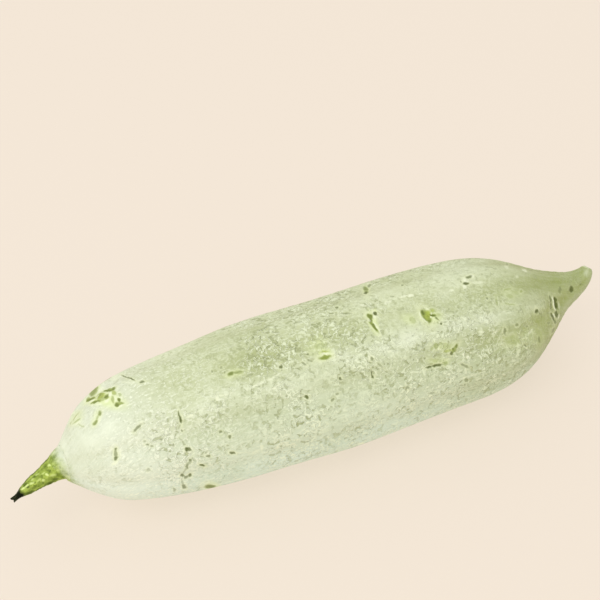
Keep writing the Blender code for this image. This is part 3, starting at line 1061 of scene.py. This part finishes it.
def blended(tree, share, first, second):
    """The first colour where share is 0 and the second where it is 1."""
    return put(
        tree, "ShaderNodeMix", {0: share, 6: first, 7: second}, data_type="RGBA"
    ).outputs[2]


def value_of(tree, name):
    """One of the values that the mesh carries."""
    return put(tree, "ShaderNodeAttribute", attribute_name=name).outputs["Fac"]


def curved(tree, value, points):
    """value read through a smooth curve from x = 0 to x = 1."""
    node = put(tree, "ShaderNodeFloatCurve", {"Value": value})
    curve = node.mapping.curves[0]
    for x, y in points[1:-1]:
        curve.points.new(x, y)
    curve.points[0].location = points[0]
    curve.points[len(points) - 1].location = points[-1]
    node.mapping.update()
    return node.outputs["Value"]


def cloud(tree, place, scale=1.0, detail=2.0, roughness=0.5, distortion=0.0):
    """Soft noise, mostly from 0.3 to 0.7."""
    return put(
        tree,
        "ShaderNodeTexNoise",
        {
            "Vector": place,
            "Scale": scale,
            "Detail": detail,
            "Roughness": roughness,
            "Distortion": distortion,
        },
    ).outputs["Fac"]


def stretched(tree, place, scales):
    """place scaled apart in each direction."""
    return put(
        tree, "ShaderNodeVectorMath", {0: place, 1: scales}, operation="MULTIPLY"
    ).outputs[0]


def relief(tree, height, strength, depth):
    """The shading normal of a surface with fine relief."""
    return put(
        tree, "ShaderNodeBump", {"Height": height, "Strength": strength, "Distance": depth}
    ).outputs["Normal"]


def new_group(name, inputs, outputs):
    """An empty node group with its sockets, and its input and output nodes."""
    group = bpy.data.node_groups.new(name, "ShaderNodeTree")
    for socket, kind in inputs:
        group.interface.new_socket(name=socket, in_out="INPUT", socket_type="NodeSocket" + kind)
    for socket, kind in outputs:
        group.interface.new_socket(name=socket, in_out="OUTPUT", socket_type="NodeSocket" + kind)
    return group, put(group, "NodeGroupInput").outputs, put(group, "NodeGroupOutput")


def flecks_group():
    """Fine flecks and worm-like lines: broken wax, or the grain of a stalk."""
    group, given, result = new_group(
        "flecks", (("Place", "Vector"), ("Size", "Float")), (("Pale", "Float"), ("Dark", "Float"))
    )
    scale = calculate(group, "DIVIDE", 1.0, given["Size"])
    broad = product(group, scale, BREAK_SCALE)
    lines = cloud(group, given["Place"], scale, detail=1.0, distortion=0.7)
    breaks = cloud(group, given["Place"], broad, roughness=0.65, distortion=0.9)
    away = calculate(group, "ABSOLUTE", calculate(group, "SUBTRACT", lines, LINE_NOISE))
    pale = product(
        group, spread(group, away, *LINE_EDGES), spread(group, breaks, *PALE_BREAKS)
    )
    dark = product(
        group, spread(group, lines, *SPOT_EDGES), spread(group, breaks, *DARK_BREAKS)
    )
    group.links.new(pale, result.inputs["Pale"])
    group.links.new(dark, result.inputs["Dark"])
    return group


def stalk_fade_group():
    """1 on the fruit's pale skin and 0 on the stalk's green, with a ragged, slanting border."""
    group, given, result = new_group("stalk fade", (("Place", "Vector"),), (("Pale", "Float"),))
    parts = put(group, "ShaderNodeSeparateXYZ", {"Vector": given["Place"]}).outputs
    height = calculate(group, "SUBTRACT", parts["Z"], STALK_FADE_HEIGHT)
    ragged = calculate(group, "SUBTRACT", cloud(group, given["Place"], STALK_FADE_SCALE), 0.5)
    border = total(
        group,
        parts["X"],
        product(group, height, STALK_FADE_SLOPE),
        product(group, ragged, STALK_FADE_WANDER),
    )
    group.links.new(spread(group, border, *STALK_FADE_X), result.inputs["Pale"])
    return group


flecks = flecks_group()
stalk_fade = stalk_fade_group()


def on_fruit(tree):
    """Where a point lies on the fruit's skin."""
    unrolled = put(tree, "ShaderNodeUVMap", uv_map="unrolled").outputs["UV"]
    parts = put(tree, "ShaderNodeSeparateXYZ", {"Vector": unrolled}).outputs
    slant = product(tree, parts["X"], LOW_DOWN_SLANT)
    return SimpleNamespace(
        place=put(tree, "ShaderNodeTexCoord").outputs["Object"],
        unrolled=unrolled,
        along=parts["X"],
        around=parts["Y"],
        way=calculate(tree, "DIVIDE", parts["X"], fruit_spine.length),
        low_down=calculate(tree, "SUBTRACT", calculate(tree, "ABSOLUTE", parts["Y"]), slant),
        low=value_of(tree, "low"),
        crest=value_of(tree, "crest"),
        top=band(tree, parts["Y"], *TOP_BAND),
        upper_back=band(tree, parts["Y"], *UPPER_BACK_BAND),
    )


def bloom_colour(tree, at):
    # Painted light and shade: a paler neck colour with a painted highlight, and a cool grey shade
    # tint low down
    near_neck = spread(tree, at.along, *NECK_BLOOM_AND_HIGHLIGHT_ALONG)
    high = blended(tree, near_neck, blended(tree, at.upper_back, BLOOM, YELLOWER_UPPER_BLOOM), NECK_BLOOM_AND_HIGHLIGHT)
    low = blended(tree, near_neck, SHADE_TINTED_BLOOM, SHADE_TINTED_NECK_BLOOM)
    return blended(tree, at.low, high, low)


def bloom_cover(tree, at, crest_lift, streaks):
    """How much of the skin the bloom covers, from 0 to 1, with painted light and shade in it: more
    towards the neck end, nearer the lamp, and more low down under the shade tint.
    """
    crests = product(
        tree,
        at.crest,
        crest_lift,
        spread(tree, at.around, *CRESTS_SHOW_IN_FRONT),
        spread(tree, at.around, *CRESTS_SHOW_BEHIND),
    )
    top_lift = calculate(tree, "SUBTRACT", curved(tree, at.way, TOP_LIFT_ALONG), TOP_LIFT_NONE)
    low_front = product(
        tree, band(tree, at.along, *MIDDLE_BAND), spread(tree, at.around, *LOW_FRONT)
    )
    at_ends = total(
        tree, spread(tree, at.along, *BEHIND_NEAR_END), spread(tree, at.along, *BEHIND_FAR_END)
    )
    clouds = cloud(tree, at.place, CLOUD_SCALE, detail=3.0, roughness=0.55)
    cover = total(
        tree,
        curved(tree, at.way, BLOOM_AND_LIGHT_ALONG),
        product(tree, at.low, LOW_LIFT),
        crests,
        product(tree, at.top, top_lift),
        low_front,
        product(tree, at_ends, spread(tree, at.around, *BEHIND_TOP)),
        spread(tree, clouds, *CLOUD_LIFT),
        spread(tree, streaks, *STREAK_LIFT),
    )
    stripe = product(
        tree,
        spread(tree, at.around, *STRIPE_TOP),
        spread(tree, at.around, *STRIPE_FOOT),
        spread(tree, at.along, *STRIPE_ALONG),
    )
    return calculate(tree, "SUBTRACT", cover, stripe, clamp=True)


def fleck_patches(tree, at):
    """How much the flecks show: in patches, and less by the stalk, low down and on top."""
    far_top = product(tree, at.top, spread(tree, at.along, *FAR_HALF))
    near_upper_back = product(tree, at.upper_back, spread(tree, at.along, *NEAR_HALF))
    noise_there = cloud(tree, at.place, PATCH_SCALE, detail=3.0, roughness=0.6)
    return product(
        tree,
        spread(tree, noise_there, *PATCH_SHARES),
        spread(tree, at.low_down, *FLECKS_LOW_DOWN),
        spread(tree, at.along, *FLECKS_LEAVE_NECK),
        spread(tree, far_top, *FLECKS_FAR_TOP),
        spread(tree, near_upper_back, *FLECKS_NEAR_UPPER_BACK),
    )


def worn_crests(tree, at, crest_lift, streaks):
    """Pale dashes along the ribs' crests."""
    return product(
        tree,
        spread(tree, at.crest, *WORN_CREST),
        spread(tree, streaks, *WORN_STREAK),
        spread(tree, cloud(tree, at.place, WORN_SCALE), *WORN_SPOTS),
        spread(tree, crest_lift, *WORN_LIFT),
    )


def fine_dashes(tree, at):
    """Short pale dashes all round, most of them near the neck."""
    dashes = cloud(
        tree, stretched(tree, at.unrolled, DASH_SCALES), detail=1.0, distortion=0.4
    )
    return product(
        tree,
        spread(tree, dashes, *DASHES),
        spread(tree, at.along, *DASHES_TO_MIDDLE),
        spread(tree, at.along, *DASHES_LEAVE_NECK),
    )


def bloomed_skin():
    made, tree, shader = fresh_material("bloomed skin", Specular_IOR_Level=0.32)
    at = on_fruit(tree)
    crest_lift = curved(tree, at.way, CREST_LIFT_ALONG)
    streaks = cloud(
        tree, stretched(tree, at.unrolled, STREAK_SCALES), detail=3.0, roughness=0.6
    )
    cover = bloom_cover(tree, at, crest_lift, streaks)
    colour = blended(tree, cover, BARE_SKIN, bloom_colour(tree, at))

    broken = put(
        tree, "ShaderNodeGroup", {"Place": at.place, "Size": FLECK_SIZE}, node_tree=flecks
    ).outputs
    patches = fleck_patches(tree, at)
    dark = product(
        tree,
        broken["Dark"],
        patches,
        spread(tree, at.along, *DARK_LEAVE_NECK),
        spread(tree, at.low_down, *DARK_LOW_DOWN),
    )
    colour = blended(tree, dark, colour, DARK_FLECK)
    dashes = calculate(
        tree, "MAXIMUM", worn_crests(tree, at, crest_lift, streaks), fine_dashes(tree, at)
    )
    pale = calculate(tree, "MAXIMUM", product(tree, broken["Pale"], patches), dashes)
    pale = product(tree, pale, spread(tree, at.along, *PALE_TO_HOOK))
    near_neck = spread(tree, at.along, *NECK_FLECKS_ALONG)
    colour = blended(tree, pale, colour, blended(tree, near_neck, PALE_FLECK, PALE_NECK_FLECK))

    for kind, strength, mark_colour in MARK_COLOURS:
        colour = blended(tree, product(tree, value_of(tree, kind), strength), colour, mark_colour)
    fade = put(tree, "ShaderNodeGroup", {"Place": at.place}, node_tree=stalk_fade).outputs["Pale"]
    colour = blended(tree, fade, STALK_GREEN, colour)
    tree.links.new(colour, shader.inputs["Base Color"])
    tree.links.new(spread(tree, cover, *BLOOM_ROUGHNESS), shader.inputs["Roughness"])
    height = calculate(tree, "SUBTRACT", broken["Pale"], broken["Dark"])
    raised = relief(tree, product(tree, height, patches), *FLECK_RELIEF)
    tree.links.new(raised, shader.inputs["Normal"])
    return made


fruit = grown(
    "gourd_fruit", FRUIT_RINGS, FRUIT_SIDES, fruit_shape, bloomed_skin(), fruit_close_up
)
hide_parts("fruit")
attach(fruit, "root")

# The stalk
# The end of the stem that the gourd hung from, cut a little over 20 mm from the fruit: green and
# fleshy with five soft ridges and small warts, and dried black and split where it was cut.
STALK_SPINE_MM = (
    (0, 0, 0, 7.4),
    (1.1, 0, 0.2, 6.6),
    (2.6, 0.1, 0.6, 5.6),
    (4.6, 0.3, 1.2, 4.8),
    (8.2, 0.9, 2.2, 3.9),
    (12.0, 1.7, 2.9, 3.2),
    (15.6, 2.6, 3.7, 2.6),
    (18.2, 3.2, 4.4, 1.8),
    (20.0, 3.6, 5.0, 1.2),
    (22.6, 4.0, 6.1, 1.1),
)
JOINT_SINK = 0.0001  # how far the stalk's base reaches into the neck
STALK_RIDGES = 5
STALK_RIDGE_SHARE = 0.07  # of the stalk's radius
KNOB_ALONG = 0.009  # where the small knob stands on the stalk's underside
KNOB_HEIGHT = 0.0008
KNOB_REACH = 0.0014
KNOB_STALK_RADIUS = 0.0036
DRIED_SHARE = (0.72, 0.84)  # of the length, between which the ridges shrink away
FORK_SHARE = (0.88, 1.0)  # of the length, between which the dried end spreads into two lobes
FORK_SPREAD = 0.22  # of the radius
FORK_DEPTH = 0.0019  # of the notch between the lobes
WART_SIZE = 0.0016
WART_HEIGHT = 0.00022
WART_DROP = 0.4  # share of it that the whole stalk is lowered by
WARTS_FROM = (0.001, 0.004)  # metres along, over which the warts begin
WART_FULL_RADIUS = 0.004  # warts are lower where the stalk is slimmer than this
STALK_RINGS = 200
STALK_CAP_RINGS = 6
STALK_SIDES = 120

# Marks on the unrolled stalk, as on the fruit: dark stains, painted shade along its top and lower
# outlines, and painted glints on its ridges
STALK_MARKS = (
    # Painted shade along the top outline, from the neck to the dried end
    ("deep", 5.5, -3, 2.5, 1.1, 5, 0.9),
    ("deep", 11, -2.5, 3, 1.1, 5, 1),
    ("deep", 15.5, -2, 3, 1, 10, 1),
    # Painted shade that winds up along the front, at the lower outline
    ("deep", 3.5, 10, 3, 1, -60, 0.2),
    ("deep", 6.5, 7, 2, 0.8, -35, 0.8),
    ("deep", 8.5, 7, 2, 0.8, -25, 1),
    ("deep", 11, 6.5, 1.5, 0.8, -30, 0.9),
    ("deep", 13.5, 6, 2, 0.8, -25, 0.9),
    ("deep", 17, 4, 2.5, 0.8, -30, 1),
    # Small stains between the two
    ("deep", 16.5, 0, 1, 0.8, 25, 0.7),
    ("deep", 16.5, 1.5, 0.8, 0.5, -60, 1),
    ("deep", 15, 3.5, 2, 0.8, -35, 0.4),
    ("deep", 11, 4.5, 0.8, 0.5, -75, 0.6),
    ("deep", 12, 0, 1, 0.5, -10, 0.5),
    ("deep", 10.5, 2, 1, 0.5, -60, 0.5),
    ("deep", 6.5, 2.5, 1.5, 0.5, -60, 0.5),
    ("deep", 7, -0.5, 0.8, 0.5, -80, 0.4),
    ("deep", 4, 3.5, 0.5, 0.5, -40, 0.4),
    ("deep", 4.5, 6, 1, 0.5, 75, 0.3),
    # Painted glints on the ridges
    ("bright", 18, 0.5, 1, 0.5, -40, 1),
    ("bright", 16.5, 1, 1, 0.4, -5, 0.9),
    ("bright", 14.5, 1.5, 1, 0.4, -25, 0.8),
    ("bright", 13.5, 0.5, 0.8, 0.5, -5, 0.5),
    ("bright", 12, 2.5, 1, 0.5, 15, 0.4),
    ("bright", 10.5, 3.5, 0.8, 0.5, -55, 0.8),
    ("bright", 11, 0, 1, 0.5, -10, 0.5),
    ("bright", 9, 1.5, 1, 0.4, -10, 0.5),
    ("bright", 8, 3, 0.8, 0.5, -40, 1),
    ("bright", 6, 5, 1.5, 0.5, -30, 0.5),
    ("bright", 5, 1, 0.8, 0.5, -60, 0.9),
    ("bright", 3.5, 5, 0.8, 0.4, -60, 0.4),
    ("bright", 10.5, 8, 1, 0.8, -60, 0.8),
)
STALK_MARK_EDGES = {"deep": (1.6, 0.3), "bright": (1.4, 0.4)}
STALK_RAGGEDNESS = 0.0003
STALK_RAG_SIZE = 0.0011

STALK_LIGHT_GREEN = (0.50, 0.62, 0.12, 1)
STALK_FURROW_SHADE_AND_GRAIN = (0.12, 0.18, 0.015, 1)  # painted shade in the furrows between the ridges, and the grain's dark spots
# Dark stains, and painted shade along the stalk's outlines
STALK_STAIN_AND_EDGE_SHADE = (0.06, 0.09, 0.008, 1)
# Painted glint on the ridges
STALK_GLINT = (0.80, 0.92, 0.34, 1)
DRIED_BLACK = (0.006, 0.008, 0.002, 1)
DRIED_GREY = (0.14, 0.155, 0.075, 1)
STALK_GRAIN_SIZE = 0.0017
BLOTCH_SCALE = 420.0
BLOTCH_GREENS = (0.35, 0.66)  # the noise that is all green, and the noise that is all light green
# Painted shade in the furrows: how far the ridges' valleys darken
FURROW_SHADE_SHARES = (0.1, -1.0, 0.0, 0.55)
GRAIN_DARK_SHARE = 0.7
GRAIN_PALE_SHARE = 0.4
# For the stains and the painted outline shade
STAIN_AND_SHADE_SHARE = 0.9
FIBRE_SCALES = (150.0, 1600.0, 0)  # along and around
FIBRE_GREYS = (0.54, 0.7)
DRIED_FROM = (0.02, 0.022)  # metres along, with the blotches' wander
DRIED_WANDER = 0.004
STALK_ROUGHNESS = (0.0, 1.0, 0.45, 0.75)  # green, and dried
GRAIN_RELIEF_SHARE = 0.4
STALK_RELIEF = (0.7, 0.0002)  # strength, metres


def stalk_shape(u, angle):
    rows = np.array(STALK_SPINE_MM) * MM
    rows[:, :3] *= -1  # outwards is -X, towards the front is -Y and downwards is -Z
    spine = Spine(rows, start=(-1, 0, 0))
    neck = np.array(FRUIT_SPINE_MM[0]) * MM
    base = np.array([NECK_X + JOINT_SINK, MIDDLE_Y + neck[1], neck[2] - FLAT_DEPTH])
    stops = (0, STALK_CAP_RINGS / STALK_RINGS, 1 - STALK_CAP_RINGS / STALK_RINGS, 1)
    distance = np.interp(u, stops, (0, 0, spine.length, spine.length))
    share = np.interp(u, stops, (0, 1, 1, 0))
    centre, radius = spine.at(distance)
    side, down, forward = spine.across(distance)
    outward = -np.cos(angle)[:, None] * down - np.sin(angle)[:, None] * side
    way = distance / spine.length
    crest = -np.cos(STALK_RIDGES * angle)
    ridge = crest * way * (1 - ramp(way, *DRIED_SHARE))
    lobe = np.cos(2 * angle) * ramp(way, *FORK_SHARE)
    notch = FORK_DEPTH * ramp(way, *FORK_SHARE) * (1 - np.abs(np.cos(angle)) * share)
    around = np.abs(np.abs(angle) - math.pi) * KNOB_STALK_RADIUS
    away = np.hypot(distance - KNOB_ALONG, around) / KNOB_REACH
    radius = radius * (1 + STALK_RIDGE_SHARE * ridge) + KNOB_HEIGHT * np.exp(-away * away)
    radius *= 1 + FORK_SPREAD * lobe
    smooth = centre + radius[:, None] * outward
    warts = unevenness(smooth, WART_SIZE) + 0.5 * unevenness(smooth, WART_SIZE / 2)
    fade = ramp(distance, *WARTS_FROM) * ramp(radius, 0, WART_FULL_RADIUS)
    radius += WART_HEIGHT * fade * (warts - WART_DROP)
    point = base + centre + (radius * share)[:, None] * outward
    point = point - notch[:, None] * forward
    arc = angle * spine.at(distance)[1]
    ragged = distance + STALK_RAGGEDNESS * unevenness(smooth, STALK_RAG_SIZE)
    ragged_arc = arc + STALK_RAGGEDNESS * unevenness(smooth + RAG_SHIFT, STALK_RAG_SIZE)
    values = {
        kind: marked(ragged, ragged_arc, marks_of(STALK_MARKS, kind), edges)
        for kind, edges in STALK_MARK_EDGES.items()
    }
    values["crest"] = crest
    return point, np.stack([distance, arc * share], axis=1), values


def stalk_skin():
    made, tree, shader = fresh_material("stalk skin", Specular_IOR_Level=0.1)
    place = put(tree, "ShaderNodeTexCoord").outputs["Object"]
    unrolled = put(tree, "ShaderNodeUVMap", uv_map="unrolled").outputs["UV"]
    along = put(tree, "ShaderNodeSeparateXYZ", {"Vector": unrolled}).outputs["X"]
    grain = put(
        tree, "ShaderNodeGroup", {"Place": place, "Size": STALK_GRAIN_SIZE}, node_tree=flecks
    ).outputs
    blotch = cloud(tree, place, BLOTCH_SCALE, detail=3.0, roughness=0.6)
    colour = blended(tree, spread(tree, blotch, *BLOTCH_GREENS), STALK_GREEN, STALK_LIGHT_GREEN)
    # Painted shade in the furrows between the ridges, joined with the grain's dark spots
    furrow = spread(tree, value_of(tree, "crest"), *FURROW_SHADE_SHARES)
    deep = calculate(tree, "MAXIMUM", furrow, product(tree, grain["Dark"], GRAIN_DARK_SHARE))
    colour = blended(tree, deep, colour, STALK_FURROW_SHADE_AND_GRAIN)
    pale = product(tree, grain["Pale"], GRAIN_PALE_SHARE)
    colour = blended(tree, pale, colour, STALK_LIGHT_GREEN)
    # Dark stains, and painted shade along the outlines
    stain_and_shade = product(tree, value_of(tree, "deep"), STAIN_AND_SHADE_SHARE)
    colour = blended(tree, stain_and_shade, colour, STALK_STAIN_AND_EDGE_SHADE)
    # Painted glints on the ridges
    colour = blended(tree, value_of(tree, "bright"), colour, STALK_GLINT)

    fibres = cloud(tree, stretched(tree, unrolled, FIBRE_SCALES))
    dried_colour = blended(tree, spread(tree, fibres, *FIBRE_GREYS), DRIED_BLACK, DRIED_GREY)
    dried = spread(tree, total(tree, along, product(tree, blotch, DRIED_WANDER)), *DRIED_FROM)
    colour = blended(tree, dried, colour, dried_colour)
    fade = put(tree, "ShaderNodeGroup", {"Place": place}, node_tree=stalk_fade).outputs["Pale"]
    # The fruit's neck colour, with its painted highlight, runs onto the stalk's base
    colour = blended(tree, fade, colour, NECK_BLOOM_AND_HIGHLIGHT)
    tree.links.new(colour, shader.inputs["Base Color"])
    tree.links.new(spread(tree, dried, *STALK_ROUGHNESS), shader.inputs["Roughness"])
    height = total(tree, product(tree, fibres, dried), blotch)
    sunk = product(tree, grain["Dark"], GRAIN_RELIEF_SHARE)
    raised = relief(tree, calculate(tree, "SUBTRACT", height, sunk), *STALK_RELIEF)
    tree.links.new(raised, shader.inputs["Normal"])
    return made


stalk = grown("gourd_stalk", STALK_RINGS, STALK_SIDES, stalk_shape, stalk_skin())
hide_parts("stalk")
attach(stalk, "root")
